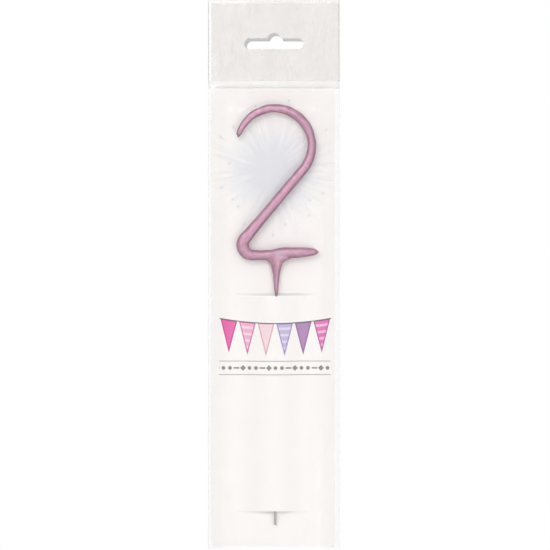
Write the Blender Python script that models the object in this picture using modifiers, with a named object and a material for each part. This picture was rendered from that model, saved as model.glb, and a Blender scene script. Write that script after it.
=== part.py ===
# A number sparkler candle in its hanging pack: a figure 2 of bent wire, dipped in sparkler
# composition and spot welded to a straight wire stick. The stick is threaded through two slits
# of a printed card, and both stand in a clear film bag with a header and a hang slot.
# Metres, +Z up. The front faces -Y. The origin is where a peg bears: the middle of the top of
# the hang slot, half way through the header.

import math

import bmesh
import bpy
import numpy as np

# Wire
WIRE_DIAMETER = 0.0010
WIRE_CROSSING_GAP = 0.00015  # between the two wires where they cross, filled by the weld
STEM_LENGTH = 0.1155  # from the crossing down to the cut end
STEM_TOP_RISE = 0.0010  # the stick's upper end stands this far above the crossing
STEM_SIDE = 0.0010  # the stick hangs this far right of the pack's middle
CROSSING_DROP = 0.0945  # from the hang slot's top down to where the wires cross

# Centre line of the figure, measured from the crossing
BOW_RADIUS = 0.0159
BOW_CENTRE_RISE = 0.0462
BOW_CENTRE_SIDE = -0.0008
BOW_START_ANGLE = math.radians(161.6)
HEEL_RADIUS = 0.0043
HEEL_CENTRE_SIDE = -0.0101
FOOT_DROP = 0.0005  # the foot's left half runs this far below the crossing
FOOT_RISE = 0.0005  # and its right half this far above it
FOOT_STEP_LENGTH = 0.0075
TOE_REACH = 0.0163

# Coating
COAT_DIAMETER = 0.0049
COAT_DEPTH_LIMIT = 0.0026  # half of the most that the coating measures from front to back
COAT_BARE_TIP = 0.0004  # wire left bare at the figure's upper end
COAT_NOSE = 0.0016  # coating beyond the wire at the toe
COAT_STEM_TOP = 0.0009  # where the coating of the stick begins, above the crossing
COAT_STEM_LENGTH = 0.0165  # how far down the stick the coating runs
COAT_STEM_LEAN = 0.0008  # the root of the stick's coating lies this far in front of the stick
CHANNEL_CLEARANCE = 0.0001  # round each wire and the weld

# Share of the figure's length, and share of COAT_DIAMETER there
COAT_SHARES = (
    (0.000, 0.36), (0.015, 0.53), (0.043, 0.62), (0.077, 0.71), (0.115, 0.76), (0.153, 0.78),
    (0.190, 0.84), (0.240, 0.89), (0.283, 0.88), (0.320, 0.79), (0.345, 0.79), (0.383, 0.88),
    (0.414, 0.92), (0.460, 0.94), (0.540, 0.95), (0.650, 0.96), (0.690, 1.02), (0.720, 1.08),
    (0.760, 1.14), (0.800, 0.96), (0.830, 0.91), (0.860, 0.92), (0.890, 0.96), (0.920, 1.00),
    (0.960, 0.97), (0.975, 0.92), (0.990, 0.82), (1.000, 0.64),
)
# Share of COAT_STEM_LENGTH, and share of COAT_DIAMETER there
STEM_COAT_SHARES = (
    (0.00, 1.00), (0.06, 1.45), (0.12, 1.80), (0.17, 1.66), (0.22, 1.42), (0.27, 1.17), (0.32, 1.04),
    (0.38, 0.90), (0.44, 0.80), (0.54, 0.67), (0.64, 0.57), (0.74, 0.49), (0.84, 0.42),
    (0.92, 0.37), (1.00, 0.31),
)
STEM_COAT_TOP_SHARE = 0.70
NOSE_SHARES = (0.35, 0.62, 0.83, 0.95)

# Weld
WELD_RADIUS = 0.0013
WELD_DEPTH_RADIUS = 0.00135

# Printed card
CARD_WIDTH = 0.0527
CARD_HEIGHT = 0.1954
CARD_THICKNESS = 0.0004
CARD_TOP_DROP = 0.0242  # from the hang slot's top
CARD_SIDE = -0.0005  # the card's middle lies this far from the pack's middle
SLIT_LENGTH = 0.0295
SLIT_KERF = 0.0003
UPPER_SLIT_DROP = 0.0883  # from the card's top edge
LOWER_SLIT_DROP = 0.1796
CARD_WIRE_GAP = 0.0001  # between the stick and the band of card that passes in front of it

# Bag
BAG_WIDTH = 0.0565
BAG_TOP_RISE = 0.0141  # from the hang slot's top up to the bag's top edge
BAG_HEIGHT = 0.2348
FILM_THICKNESS = 0.0001
FILM_LAYER_GAP = 0.0001  # between neighbouring layers of the header
SEAL_DROP = 0.0223  # from the hang slot's top down to where the films part
TENT_LENGTH = 0.0120  # over which the front film rises to its full depth
TENT_GAP = 0.0004  # between the front film and the most forward coating
TENT_WIDTH_POWER = 4.5
TENT_EDGE_POWER = 0.6
LINER_SIDE_MARGIN = 0.0008
LINER_TOP_MARGIN = 0.0008
LINER_BOTTOM_DROP = 0.0203

# Hang slot
SLOT_WIDTH = 0.0254
SLOT_HEIGHT = 0.0046
SLOT_BUMP_RISE = 0.0023
SLOT_BUMP_RADIUS = 0.0029

# Seats and joins
SEAT_GAP = 0.0003
OVERRUN = 0.0020
MERGE_DISTANCE = 0.000001

BOW_STEPS = 34
DIAGONAL_STEPS = 8
HEEL_STEPS = 10
FOOT_STEPS = 12
TENT_COLUMNS = 26
TENT_ROWS = 8
ARCH_COLUMNS = 18
SLOT_ARC_STEPS = 8
WIRE_BEVEL = 3
COAT_BEVEL = 5
WELD_SEGMENTS = 14
WELD_RINGS = 8
COAT_DEPTH_POWER = 6  # how squarely the coating's depth meets its limit
SHARP_ANGLE = math.radians(35)

# Places worked out from the sizes above, front to back
header_layers_depth = 3 * FILM_THICKNESS + 2 * FILM_LAYER_GAP
back_film_y = header_layers_depth / 2 - FILM_THICKNESS / 2
header_front_y = -back_film_y
card_y = back_film_y - FILM_THICKNESS / 2 - SEAT_GAP - CARD_THICKNESS / 2
wire_pitch = WIRE_DIAMETER + WIRE_CROSSING_GAP
coat_back_reach = COAT_DEPTH_LIMIT - min(COAT_STEM_LEAN, wire_pitch)
stem_y = card_y - CARD_THICKNESS / 2 - SEAT_GAP - coat_back_reach
figure_y = stem_y - wire_pitch
tent_y = figure_y - COAT_DEPTH_LIMIT - TENT_GAP - FILM_THICKNESS / 2
bag_top = BAG_TOP_RISE
bag_bottom = BAG_TOP_RISE - BAG_HEIGHT
card_top = -CARD_TOP_DROP
crossing = (STEM_SIDE, stem_y, -CROSSING_DROP)


def clear_scene():
    for obj in list(bpy.data.objects):
        bpy.data.objects.remove(obj)


def new_collection(name, hidden=False):
    collection = bpy.data.collections.new(name)
    bpy.context.scene.collection.children.link(collection)
    collection.hide_render = hidden
    return collection


def new_material(name, colour, roughness, metallic=0.0, alpha=1.0):
    material = bpy.data.materials.new(name)
    material.use_nodes = True
    shader = material.node_tree.nodes["Principled BSDF"]
    shader.inputs["Base Color"].default_value = (*colour, 1.0)
    shader.inputs["Roughness"].default_value = roughness
    shader.inputs["Metallic"].default_value = metallic
    shader.inputs["Alpha"].default_value = alpha
    material.diffuse_color = (*colour, alpha)
    return material


def place(obj, collection, parent=None, location=(0, 0, 0)):
    collection.objects.link(obj)
    obj.location = location
    if parent:
        obj.parent = parent
        obj.location = [a - b for a, b in zip(location, parent.location)]
    return obj


def smooth_step(share):
    share = min(max(share, 0), 1)
    return share * share * (3 - 2 * share)


# Tubes

def tube(name, points, diameter, bevel, widths=None):
    """A tube on a poly spline. widths holds the diameter at each point, where it varies."""
    curve = bpy.data.curves.new(name, "CURVE")
    curve.dimensions = "3D"
    curve.bevel_depth = diameter / 2
    curve.bevel_resolution = bevel
    curve.use_fill_caps = True
    spline = curve.splines.new("POLY")
    spline.points.add(len(points) - 1)
    for i, (x, y, z) in enumerate(points):
        spline.points[i].co = (x, y, z, 1)
        if widths is not None:
            spline.points[i].radius = widths[i] / diameter
    return bpy.data.objects.new(name, curve)


def as_mesh(obj, collection):
    """The curve object made a mesh with its caps welded. The curve is removed."""
    bpy.context.view_layer.update()
    graph = bpy.context.evaluated_depsgraph_get()
    mesh = bpy.data.meshes.new_from_object(obj.evaluated_get(graph))
    built = bmesh.new()
    built.from_mesh(mesh)
    bmesh.ops.remove_doubles(built, verts=built.verts, dist=MERGE_DISTANCE)
    bmesh.ops.recalc_face_normals(built, faces=built.faces)
    built.to_mesh(mesh)
    built.free()
    made = bpy.data.objects.new(obj.name, mesh)
    collection.objects.link(made)
    made.matrix_world = obj.matrix_world
    name = obj.name
    bpy.data.objects.remove(obj)
    made.name = name
    return made


def cut(target, cutter, operation="DIFFERENCE"):
    modifier = target.modifiers.new(operation.lower() + "_" + cutter.name, "BOOLEAN")
    modifier.operation = operation
    modifier.object = cutter
    modifier.solver = "EXACT"
    cutter.display_type = "WIRE"
    cutter.hide_render = True


def shade(obj, material):
    obj.data.materials.append(material)
    if obj.type == "MESH":
        obj.data.shade_smooth()
        obj.data.set_sharp_from_angle(angle=SHARP_ANGLE)


# The figure's centre line: a bow round its centre, a straight diagonal tangent to it and to
# the heel, the heel, and the foot, which eases up where it crosses the stick.

def diagonal_angle():
    """Direction from the bow's centre to where the diagonal leaves it."""
    side = HEEL_CENTRE_SIDE - BOW_CENTRE_SIDE
    rise = HEEL_RADIUS - FOOT_DROP - BOW_CENTRE_RISE
    apart = math.hypot(side, rise)
    return math.atan2(rise, side) + math.acos((BOW_RADIUS + HEEL_RADIUS) / apart)


def foot_height(side):
    share = side / FOOT_STEP_LENGTH + 0.5
    return -FOOT_DROP + (FOOT_DROP + FOOT_RISE) * smooth_step(share)


def figure_line():
    """The centre line as rows of (side, height) from the crossing."""
    leave = diagonal_angle()
    bow_centre = np.array((BOW_CENTRE_SIDE, BOW_CENTRE_RISE))
    heel_centre = np.array((HEEL_CENTRE_SIDE, HEEL_RADIUS - FOOT_DROP))
    bow_angles = np.linspace(BOW_START_ANGLE, leave, BOW_STEPS + 1)
    heel_angles = np.linspace(leave + math.pi, 1.5 * math.pi, HEEL_STEPS + 1)
    bow = bow_centre + BOW_RADIUS * np.column_stack((np.cos(bow_angles), np.sin(bow_angles)))
    heel = heel_centre + HEEL_RADIUS * np.column_stack((np.cos(heel_angles), np.sin(heel_angles)))
    along = np.linspace(0, 1, DIAGONAL_STEPS + 1)[1:-1, None]
    diagonal = bow[-1] + (heel[0] - bow[-1]) * along
    sides = np.linspace(HEEL_CENTRE_SIDE, TOE_REACH, FOOT_STEPS + 1)[1:]
    foot = np.array([(side, foot_height(side)) for side in sides])
    return np.vstack((bow, diagonal, heel, foot))


def lengths_along(line):
    steps = np.hypot(*np.diff(line, axis=0).T)
    return np.concatenate(([0], np.cumsum(steps)))


def at_figure(line):
    """The centre line as points in space, measured from the crossing."""
    return [(side, -wire_pitch, height) for side, height in line]


def share_value(shares, at):
    return float(np.interp(at, [s for s, _ in shares], [v for _, v in shares]))


def thin_front_to_back(obj, middle_y):
    """The coating is never thicker from front to back than its limit allows."""
    for vertex in obj.data.vertices:
        depth = vertex.co.y - middle_y
        ratio = abs(depth) / COAT_DEPTH_LIMIT
        vertex.co.y = middle_y + depth / (1 + ratio ** COAT_DEPTH_POWER) ** (1 / COAT_DEPTH_POWER)


def coated_line(line):
    """Centre line and diameters of the figure's coating: bare at the tip, domed at the toe."""
    along = lengths_along(line)
    start = [np.interp(COAT_BARE_TIP, along, line[:, i]) for i in (0, 1)]
    kept = along > COAT_BARE_TIP + MERGE_DISTANCE
    points = np.vstack((start, line[kept]))
    whole = along[-1]
    stations = np.concatenate(([COAT_BARE_TIP], along[kept])) / whole
    widths = [COAT_DIAMETER * share_value(COAT_SHARES, s) for s in stations]
    toe_width = widths[-1]
    for share in NOSE_SHARES:
        points = np.vstack((points, (TOE_REACH + COAT_NOSE * share, points[-1][1])))
        widths.append(toe_width * math.sqrt(1 - share * share))
    return points, widths


# Sheets

def sheet(name, columns, rows, depth_at, thickness, missing=None):
    """A grid in X and Z, bent to depth_at(x, z) in Y and given its thickness."""
    mesh = bpy.data.meshes.new(name)
    grid = bmesh.new()
    across, down = len(columns) - 1, len(rows) - 1
    bmesh.ops.create_grid(grid, x_segments=across, y_segments=down, size=1)
    for vertex in grid.verts:
        column = round((vertex.co.x + 1) / 2 * across)
        row = round((vertex.co.y + 1) / 2 * down)
        x, z = columns[column], rows[row]
        vertex.co = (x, depth_at(x, z), z)
    if missing:
        gone = [face for face in grid.faces if missing(face.calc_center_median())]
        bmesh.ops.delete(grid, geom=gone, context="FACES")
    grid.to_mesh(mesh)
    grid.free()
    obj = bpy.data.objects.new(name, mesh)
    solidify = obj.modifiers.new("thickness", "SOLIDIFY")
    solidify.thickness = thickness
    solidify.offset = 0
    solidify.use_even_offset = True
    return obj


def arc_points(centre, radius, start, end, steps):
    angles = np.linspace(start, end, steps + 1)
    return [(centre[0] + radius * math.cos(a), centre[1] + radius * math.sin(a)) for a in angles]


def slot_cutter(name, collection):
    """The hang slot: a round-ended slot with a round bump in the middle of its upper edge."""
    end_radius = SLOT_HEIGHT / 2
    end_side = SLOT_WIDTH / 2 - end_radius
    end_height = -SLOT_BUMP_RISE - end_radius
    bump_height = -SLOT_BUMP_RADIUS
    bump_start = math.asin((SLOT_BUMP_RADIUS - SLOT_BUMP_RISE) / SLOT_BUMP_RADIUS)
    quarter = math.pi / 2
    outline = (
        arc_points((-end_side, end_height), end_radius, 3 * quarter, quarter, SLOT_ARC_STEPS)
        + arc_points((0, bump_height), SLOT_BUMP_RADIUS, math.pi - bump_start, bump_start, SLOT_ARC_STEPS)
        + arc_points((end_side, end_height), end_radius, quarter, -quarter, SLOT_ARC_STEPS)
    )
    curve = bpy.data.curves.new(name, "CURVE")
    curve.dimensions = "2D"
    curve.fill_mode = "BOTH"
    curve.extrude = header_layers_depth + OVERRUN
    spline = curve.splines.new("POLY")
    spline.points.add(len(outline) - 1)
    for i, (x, z) in enumerate(outline):
        spline.points[i].co = (x, z, 0, 1)
    spline.use_cyclic_u = True
    obj = bpy.data.objects.new(name, curve)
    collection.objects.link(obj)
    obj.rotation_euler = (quarter, 0, 0)
    return as_mesh(obj, collection)


# Sparkler

def build_wires(parts, parent, line, steel):
    figure = tube("numeral_wire", at_figure(line), WIRE_DIAMETER, WIRE_BEVEL)
    place(figure, parts, parent, crossing)
    shade(figure, steel["numeral_wire"])
    ends = [(0, 0, STEM_TOP_RISE), (0, 0, -STEM_LENGTH)]
    stem = tube("stem_wire", ends, WIRE_DIAMETER, WIRE_BEVEL)
    place(stem, parts, parent, crossing)
    shade(stem, steel["stem_wire"])


def wire_channels(cutters, line):
    """Cutters for the spaces of the two wires, CHANNEL_CLEARANCE larger all round."""
    bore = WIRE_DIAMETER + 2 * CHANNEL_CLEARANCE
    start = line[0] + (line[0] - line[1]) / np.hypot(*(line[0] - line[1])) * OVERRUN
    toe = line[-1] + (CHANNEL_CLEARANCE, 0)
    points = at_figure(np.vstack((start, line[:-1], toe)))
    figure = place(tube("numeral_channel", points, bore, WIRE_BEVEL), cutters, None, crossing)
    ends = [(0, 0, STEM_TOP_RISE + CHANNEL_CLEARANCE), (0, 0, -STEM_LENGTH - OVERRUN)]
    stem = place(tube("stem_channel", ends, bore, WIRE_BEVEL), cutters, None, crossing)
    figure, stem = as_mesh(figure, cutters), as_mesh(stem, cutters)
    cut(figure, stem, "UNION")
    return figure


def weld_ball(name, grown):
    mesh = bpy.data.meshes.new(name)
    ball = bmesh.new()
    bmesh.ops.create_uvsphere(ball, u_segments=WELD_SEGMENTS, v_segments=WELD_RINGS, radius=1)
    for vertex in ball.verts:
        vertex.co.x *= WELD_RADIUS + grown
        vertex.co.y *= WELD_DEPTH_RADIUS + grown
        vertex.co.z *= WELD_RADIUS + grown
    ball.to_mesh(mesh)
    ball.free()
    return bpy.data.objects.new(name, mesh)


def weld_place():
    return (crossing[0], crossing[1] - wire_pitch / 2, crossing[2])


def build_weld(parts, parent, channels, steel):
    weld = place(weld_ball("weld_bead", 0), parts, parent, weld_place())
    cut(weld, channels)
    shade(weld, steel["weld_bead"])


def build_coating(parts, cutters, parent, line, channels, material):
    points, widths = coated_line(line)
    coat = tube("sparkler_coating", at_figure(points), COAT_DIAMETER, COAT_BEVEL, widths)
    coat = as_mesh(place(coat, cutters, None, crossing), parts)
    thin_front_to_back(coat, -wire_pitch)
    root = [(0, -COAT_STEM_LEAN, COAT_STEM_TOP)]
    widths = [COAT_DIAMETER * STEM_COAT_TOP_SHARE]
    for share, width_share in STEM_COAT_SHARES:
        lean = COAT_STEM_LEAN * (1 - smooth_step(2 * share))
        root.append((0, -lean, -COAT_STEM_LENGTH * share))
        widths.append(COAT_DIAMETER * width_share)
    trumpet = tube("stem_coat", root, COAT_DIAMETER, COAT_BEVEL, widths)
    trumpet = as_mesh(place(trumpet, cutters, None, crossing), cutters)
    thin_front_to_back(trumpet, -COAT_STEM_LEAN)
    cut(coat, trumpet, "UNION")
    hollow = place(weld_ball("weld_hollow", CHANNEL_CLEARANCE), cutters, None, weld_place())
    cut(hollow, channels, "UNION")
    cut(coat, hollow)
    coat.parent = parent
    coat.location = (0, 0, 0)
    shade(coat, material)


# Card

def arch_share(side):
    """1 in the middle of the slits, 0 at their ends and beyond."""
    reach = min(abs(side) / (SLIT_LENGTH / 2), 1)
    return math.cos(reach * math.pi / 2) ** 2


def arch_rise():
    """How far the band between the slits arches forward, to pass in front of the stick."""
    needed = WIRE_DIAMETER / 2 + CARD_WIRE_GAP + CARD_THICKNESS / 2
    worst_side = abs(STEM_SIDE - CARD_SIDE) + WIRE_DIAMETER / 2
    return (card_y - stem_y + needed) / arch_share(worst_side)


def build_card(parts, parent, material):
    half_width, half_slit, half_kerf = CARD_WIDTH / 2, SLIT_LENGTH / 2, SLIT_KERF / 2
    columns = [-half_width, *np.linspace(-half_slit, half_slit, ARCH_COLUMNS + 1), half_width]
    rows = [
        -CARD_HEIGHT,
        -LOWER_SLIT_DROP - half_kerf,
        -LOWER_SLIT_DROP + half_kerf,
        -UPPER_SLIT_DROP - half_kerf,
        -UPPER_SLIT_DROP + half_kerf,
        0,
    ]
    band = (-LOWER_SLIT_DROP, -UPPER_SLIT_DROP)
    rise = arch_rise()

    def depth_at(x, z):
        return -rise * arch_share(x) if band[0] < z < band[1] else 0

    def in_a_slit(centre):
        on_row = min(abs(centre.z - edge) for edge in band) < half_kerf
        return on_row and abs(centre.x) < half_slit

    card = sheet("insert_card", columns, rows, depth_at, CARD_THICKNESS, in_a_slit)
    place(card, parts, parent, (CARD_SIDE, card_y, card_top))
    shade(card, material)


# Bag

def tent_depth(x, z):
    """How far the front film stands in front of the header's plane."""
    side = min(abs(x) / (BAG_WIDTH / 2), 1)
    across = (1 - side ** TENT_WIDTH_POWER) ** TENT_EDGE_POWER
    down = min(max((-SEAL_DROP - z) / TENT_LENGTH, 0), 1)
    return (header_front_y - tent_y) * across * math.sin(down * math.pi / 2)


def build_bag(parts, cutters, materials):
    half_width = BAG_WIDTH / 2
    slot = slot_cutter("hang_slot", cutters)
    columns = half_width * np.sin(np.linspace(-math.pi / 2, math.pi / 2, TENT_COLUMNS + 1))
    tent_end = -SEAL_DROP - TENT_LENGTH
    rows = [bag_bottom, *np.linspace(tent_end, -SEAL_DROP, TENT_ROWS + 1), bag_top]
    front = sheet("bag_front_film", columns, rows, lambda x, z: -tent_depth(x, z), FILM_THICKNESS)
    place(front, parts, None, (0, header_front_y, 0))
    back = sheet("bag_back_film", columns[[0, -1]], rows[::len(rows) - 1], lambda x, z: 0, FILM_THICKNESS)
    place(back, parts, None, (0, back_film_y, 0))
    liner_side = half_width - LINER_SIDE_MARGIN
    liner_rows = [-LINER_BOTTOM_DROP, bag_top - LINER_TOP_MARGIN]
    liner = sheet("header_liner", [-liner_side, liner_side], liner_rows, lambda x, z: 0, FILM_THICKNESS)
    place(liner, parts)
    for layer in (front, back, liner):
        cut(layer, slot)
        shade(layer, materials[layer.name])


def new_empty(name, collection, location):
    empty = bpy.data.objects.new(name, None)
    collection.objects.link(empty)
    empty.location = location
    return empty


def main():
    clear_scene()
    parts = new_collection("number_sparkler_candle")
    cutters = new_collection("cutters", hidden=True)
    materials = {
        "numeral_wire": new_material("numeral_wire", (0.24, 0.23, 0.23), 0.45, 1.0),
        "stem_wire": new_material("stem_wire", (0.50, 0.50, 0.50), 0.35, 1.0),
        "weld_bead": new_material("weld_bead", (0.30, 0.29, 0.28), 0.55, 1.0),
        "sparkler_coating": new_material("sparkler_coating", (0.62, 0.32, 0.44), 0.55, 0.55),
        "insert_card": new_material("insert_card", (0.94, 0.91, 0.89), 0.60),
        "bag_front_film": new_material("bag_front_film", (0.93, 0.93, 0.93), 0.15, 0.0, 0.20),
        "bag_back_film": new_material("bag_back_film", (0.93, 0.93, 0.93), 0.15, 0.0, 0.20),
        "header_liner": new_material("header_liner", (0.88, 0.87, 0.86), 0.30, 0.0, 0.35),
    }
    line = figure_line()
    sparkler = new_empty("sparkler_slide", parts, crossing)
    card = new_empty("card_slide", parts, crossing)
    channels = wire_channels(cutters, line)
    build_wires(parts, sparkler, line, materials)
    build_weld(parts, sparkler, channels, materials)
    build_coating(parts, cutters, sparkler, line, channels, materials["sparkler_coating"])
    build_card(parts, card, materials["insert_card"])
    build_bag(parts, cutters, materials)


main()
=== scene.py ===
import math

import bmesh
import bpy
import numpy as np
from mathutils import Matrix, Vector


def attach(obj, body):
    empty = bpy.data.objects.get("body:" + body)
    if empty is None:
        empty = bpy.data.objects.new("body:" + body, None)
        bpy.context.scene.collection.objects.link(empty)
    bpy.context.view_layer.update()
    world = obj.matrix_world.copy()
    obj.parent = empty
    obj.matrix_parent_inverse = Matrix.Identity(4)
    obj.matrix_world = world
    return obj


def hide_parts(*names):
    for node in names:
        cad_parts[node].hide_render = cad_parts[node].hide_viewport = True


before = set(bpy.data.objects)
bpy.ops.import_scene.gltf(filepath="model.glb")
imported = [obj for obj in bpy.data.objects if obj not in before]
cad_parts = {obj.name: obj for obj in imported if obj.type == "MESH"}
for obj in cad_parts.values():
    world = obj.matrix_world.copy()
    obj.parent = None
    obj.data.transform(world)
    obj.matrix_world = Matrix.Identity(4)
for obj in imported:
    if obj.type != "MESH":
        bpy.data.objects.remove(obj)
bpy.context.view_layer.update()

# A number sparkler candle in its hanging pack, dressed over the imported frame. Lengths in the
# dictionaries are millimetres in the frame's own axes: +Z up, front towards -Y, and the origin in
# the middle of the top of the hang slot. Points are scaled to metres when a mesh is made. A pair in
# a look's dictionary is an edge and how softly it ends, or a bump's strength and its depth.

mm = 0.001
print("frame loaded:", sorted(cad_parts))


# Shader sums

class Sock:
    # one output of a shader node; a sum written with it adds the Math nodes for it
    def __init__(self, look, out):
        self.look = look
        self.out = out

    def math(self, operation, *values):
        return self.look.add("Math", {"operation": operation}, dict(enumerate(values)))

    def __add__(self, other):
        return self.math("ADD", self, other)

    def __sub__(self, other):
        return self.math("SUBTRACT", self, other)

    def __rsub__(self, other):
        return self.math("SUBTRACT", other, self)

    def __mul__(self, other):
        return self.math("MULTIPLY", self, other)

    def __truediv__(self, other):
        return self.math("DIVIDE", self, other)

    def __pow__(self, other):
        return self.math("POWER", self, other)

    def __abs__(self):
        return self.math("ABSOLUTE", self)

    __radd__ = __add__
    __rmul__ = __mul__

    def least(self, other):
        return self.math("MINIMUM", self, other)

    def most(self, other):
        return self.math("MAXIMUM", self, other)

    def above(self, edge, soft):
        # 0 below edge - soft, 1 above edge + soft, smooth between
        limits = {"From Min": edge - soft, "From Max": edge + soft, "Value": self}
        return self.look.add("MapRange", {"interpolation_type": "SMOOTHSTEP"}, limits)

    def below(self, edge, soft):
        return 1 - self.above(edge, soft)

    def near(self, place, half, soft):
        # 1 within half - soft of place, 0 beyond half + soft
        return abs(self - place).below(half, soft)

    def fraction(self):
        return self.math("FRACT", self)

    def floor(self):
        return self.math("FLOOR", self)


class Look:
    # a material or world whose nodes are being laid out
    def __init__(self, owner):
        self.owner = owner
        owner.use_nodes = True
        self.tree = owner.node_tree
        self.tree.nodes.clear()

    def add(self, kind, settings=None, values=None, output=0):
        # a node of that type: its settings first, then the values or links of its sockets
        node = self.tree.nodes.new("ShaderNode" + kind)
        for name, value in (settings or {}).items():
            if name == "stops":
                while len(node.color_ramp.elements) < len(value):
                    node.color_ramp.elements.new(1)
                for element, (place, colour) in zip(node.color_ramp.elements, value):
                    element.position = place
                    element.color = (*colour, 1)
            elif name == "interpolation":
                node.color_ramp.interpolation = value
            else:
                setattr(node, name, value)
        for name, value in (values or {}).items():
            if isinstance(value, Sock):
                self.tree.links.new(value.out, node.inputs[name])
            elif isinstance(value, tuple) and node.inputs[name].type == "RGBA":
                node.inputs[name].default_value = (*value, 1)
            else:
                node.inputs[name].default_value = value
        return Sock(self, node.outputs[output]) if node.outputs else None

    def place(self):
        # object coordinates in millimetres
        point = self.add("TexCoord", output="Object")
        return self.add("VectorMath", {"operation": "SCALE"}, {0: point, "Scale": 1 / mm})

    def part(self, point, axis):
        return self.add("SeparateXYZ", None, {0: point}, axis)

    def noise(self, point, scale=1, detail=2, roughness=0.5):
        # scale is one number, or one for each axis
        if isinstance(scale, tuple):
            point = self.add("VectorMath", {"operation": "MULTIPLY"}, {0: point, 1: scale})
            scale = 1
        values = {"Vector": point, "Scale": scale, "Detail": detail, "Roughness": roughness}
        return self.add("TexNoise", None, values)

    def blend(self, share, first, second):
        return self.add("Mix", {"data_type": "RGBA"}, {"Factor": share, 6: first, 7: second}, 2)

    def mixed(self, share, first, second):
        # a mix of two shaders
        return self.add("MixShader", None, {0: share, 1: first, 2: second})

    def seen(self):
        # 1 where the camera looks, straight or through a clear surface
        straight, through = (
            self.add("LightPath", output=kind) for kind in ("Is Camera Ray", "Is Transmission Ray")
        )
        return straight.most(through)

    def distance(self, point, centre):
        return self.add("VectorMath", {"operation": "DISTANCE"}, {0: point, 1: centre}, "Value")

    def bump(self, height, strength, depth, under=None):
        # depth in millimetres; under is a bump that this one is laid over
        values = {"Height": height, "Strength": strength, "Distance": depth * mm}
        if under:
            values["Normal"] = under
        return self.add("Bump", None, values)

    def principled(self, **values):
        names = {name.replace("_", " "): value for name, value in values.items()}
        return self.add("BsdfPrincipled", None, names)

    def shown(self, shader, kind="OutputMaterial"):
        self.add(kind, None, {"Surface": shader})
        return self.owner


def newLook(name):
    return Look(bpy.data.materials.new(name))


# Meshes

def gridFaces(rows, columns, closed):
    # quads between neighbouring points of a rows x columns grid; closed joins last column to first
    row, column = np.meshgrid(
        np.arange(rows - 1), np.arange(columns if closed else columns - 1), indexing="ij"
    )
    after = (column + 1) % columns
    corners = (
        row * columns + column, row * columns + after,
        (row + 1) * columns + after, (row + 1) * columns + column,
    )
    return np.stack(corners, axis=-1).reshape(-1, 4)


def linked(name, data):
    # a new object in the scene
    thing = bpy.data.objects.new(name, data)
    bpy.context.scene.collection.objects.link(thing)
    return thing


def newPiece(name, points, faces, materials):
    # a mesh object from points in millimetres, shaded smooth
    mesh = bpy.data.meshes.new(name)
    mesh.from_pydata((points * mm).tolist(), [], faces)
    for material in materials:
        mesh.materials.append(material)
    mesh.shade_smooth()
    return linked(name, mesh)


def turnOutwards(piece):
    work = bmesh.new()
    work.from_mesh(piece.data)
    bmesh.ops.recalc_face_normals(work, faces=work.faces)
    work.to_mesh(piece.data)
    work.free()


def sweep(name, path, across, deep, sides, materials, squareness=2):
    # rings along a path: path + across x cos(a) x sideways + deep x sin(a) x forwards, where
    # forwards is -Y and sideways is square to it and to the path. Both ends are closed by fans.
    # The cosine and sine keep their sign and are raised to 2 / squareness: 2 gives a plain ellipse.
    along = np.gradient(path, axis=0)
    forwards = np.array((0.0, -1.0, 0.0))
    sideways = np.cross(along, forwards)
    sideways /= np.linalg.norm(sideways, axis=1, keepdims=True)
    angles = np.linspace(0, 2 * np.pi, sides, endpoint=False)
    cosine, sine = (
        np.sign(wave) * np.abs(wave) ** (2 / squareness) for wave in (np.cos(angles), np.sin(angles))
    )
    rings = (
        path[:, None]
        + across[:, None, None] * cosine[None, :, None] * sideways[:, None]
        + deep[:, None, None] * sine[None, :, None] * forwards
    )
    points = np.vstack((rings.reshape(-1, 3), path[[0, -1]]))
    faces = gridFaces(len(path), sides, True).tolist()
    first, last = len(points) - 2, len(points) - 1
    start = (len(path) - 1) * sides
    ring = np.arange(sides)
    after = (ring + 1) % sides
    faces += np.column_stack((after, ring, np.full(sides, first))).tolist()
    faces += np.column_stack((start + ring, start + after, np.full(sides, last))).tolist()
    piece = newPiece(name, points, faces, materials)
    turnOutwards(piece)
    return piece


def addModifier(piece, kind, **settings):
    modifier = piece.modifiers.new(kind.lower(), kind)
    for name, value in settings.items():
        setattr(modifier, name, value)


def applied(piece):
    # the piece's modifiers are made part of its mesh
    bpy.context.view_layer.update()
    graph = bpy.context.evaluated_depsgraph_get()
    mesh = bpy.data.meshes.new_from_object(piece.evaluated_get(graph))
    piece.modifiers.clear()
    piece.data = mesh
    mesh.name = piece.name
    return piece


def joined(piece, others, operation):
    # a Boolean of the piece with each of the others, which are then removed
    for other in others:
        addModifier(piece, "BOOLEAN", operation=operation, object=other, solver="EXACT")
        applied(piece)
        bpy.data.objects.remove(other)
    return piece


def meshPoints(mesh, what="co"):
    values = np.empty(len(mesh.vertices) * 3, dtype=np.float32)
    mesh.vertices.foreach_get(what, values)
    return values.reshape(-1, 3).astype(float)


def setPoints(mesh, points):
    mesh.vertices.foreach_set("co", points.astype(np.float32).ravel())
    mesh.update()


def setShare(mesh, name, values):
    # one number for each point, which a material reads by its name
    mesh.attributes.new(name, "FLOAT", "POINT").data.foreach_set("value", values.astype(np.float32))


def waves(points, kinds, spread=(0.7, 1.5)):
    # a sum of sine waves, each in its own random direction. A kind is a height, a length, a number of
    # waves and a seed: its waves' lengths spread round that length, and sum to about that height.
    total = np.zeros(points.shape[:-1])
    for height, length, count, seed in kinds:
        draw = np.random.default_rng(seed)
        ways = draw.normal(size=(count, points.shape[-1]))
        ways /= np.linalg.norm(ways, axis=1, keepdims=True)
        pace = 2 * np.pi / (length * draw.uniform(*spread, count))
        phase = draw.uniform(0, 2 * np.pi, count)
        total += height * np.sin(points @ (ways * pace[:, None]).T + phase).sum(-1) / math.sqrt(count)
    return total


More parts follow.
